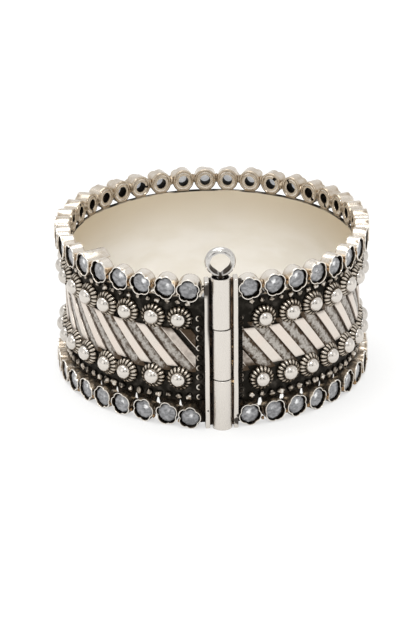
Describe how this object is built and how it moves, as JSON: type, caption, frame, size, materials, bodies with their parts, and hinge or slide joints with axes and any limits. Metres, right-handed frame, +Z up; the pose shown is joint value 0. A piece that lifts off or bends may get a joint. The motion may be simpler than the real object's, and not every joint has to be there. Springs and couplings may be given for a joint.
{
  "type": "wide silver bangle with a pin clasp",
  "caption": "Wide silver bangle with stones set along both edges, rows of fluted studs, slanting bars and a pin clasp that opens it at the front.",
  "frame": {"origin": "on the bangle's axis, on the surface that its lower settings and clasp stand on", "axes": "+Z up along the bangle's axis, clasp and pin facing -Y, +X to the right as the clasp is looked at"},
  "size_m": [0.0672, 0.068, 0.04],
  "materials": {
    "oxidised_silver": "silver, polished where it stands up and blackened in its hollows",
    "polished_silver": "polished silver wire",
    "stone": "flat cut grey stone, foiled behind"
  },
  "bodies": {
    "bangle": {"band": "oxidised_silver", "top_stones": "stone", "bottom_stones": "stone"},
    "pin": {"clasp_pin": "polished_silver"}
  },
  "joints": [
    {"name": "pin_slide", "type": "slide", "parent": "bangle", "child": "pin", "axis": [0, 0, 1], "range_m": [0, 0.034]}
  ]
}
